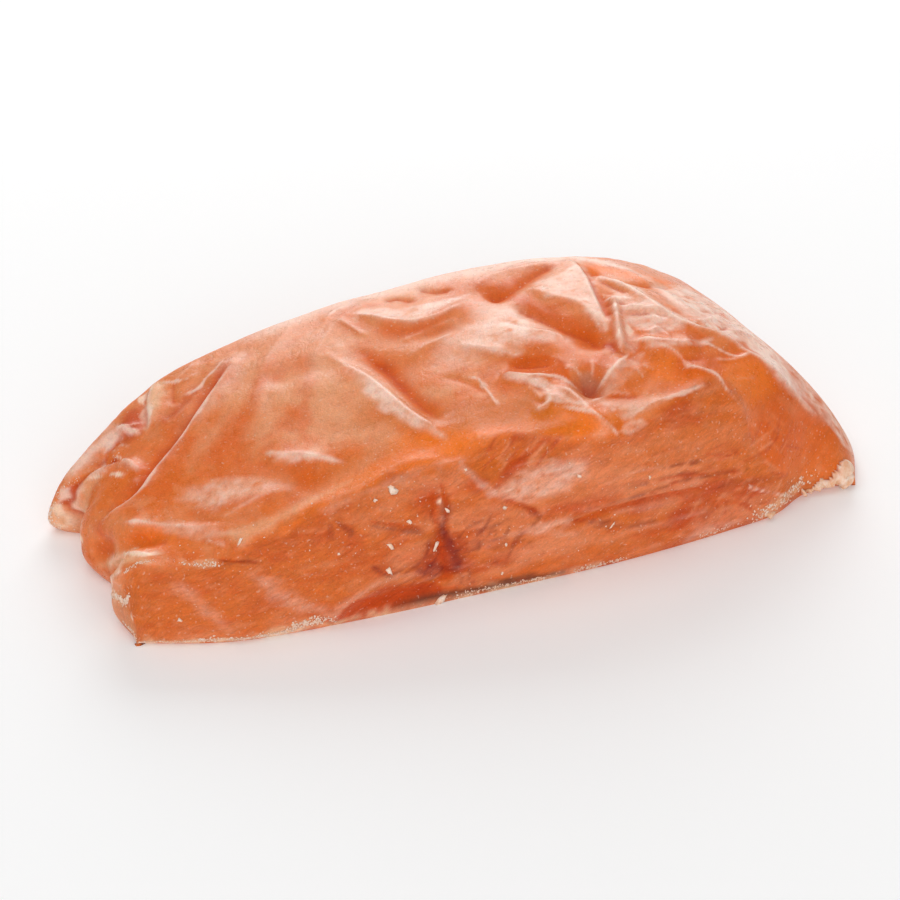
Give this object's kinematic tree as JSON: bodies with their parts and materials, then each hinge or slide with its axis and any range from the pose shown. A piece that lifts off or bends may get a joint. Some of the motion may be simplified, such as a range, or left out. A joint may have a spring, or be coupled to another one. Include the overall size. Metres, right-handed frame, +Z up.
{
  "type": "skinless salmon portion",
  "caption": "Raw skinless fish fillet portion: a wedge-shaped block with a long cut face, a creased membrane over the top and a thin low end, resting on a flat underside.",
  "frame": {"origin": "centre of the footprint's box, on the surface that the portion rests on", "axes": "+X along the long cut face towards the thin end, +Y away from the cut face, +Z up through the thickness"},
  "size_m": [0.1362, 0.0634, 0.031],
  "materials": {
    "flesh": "moist orange-pink flesh, satin under a thin wet membrane with pale glossy creases",
    "frost": "white translucent frost crumbs"
  },
  "bodies": {
    "root": {"salmon_portion": "flesh"}
  },
  "joints": []
}
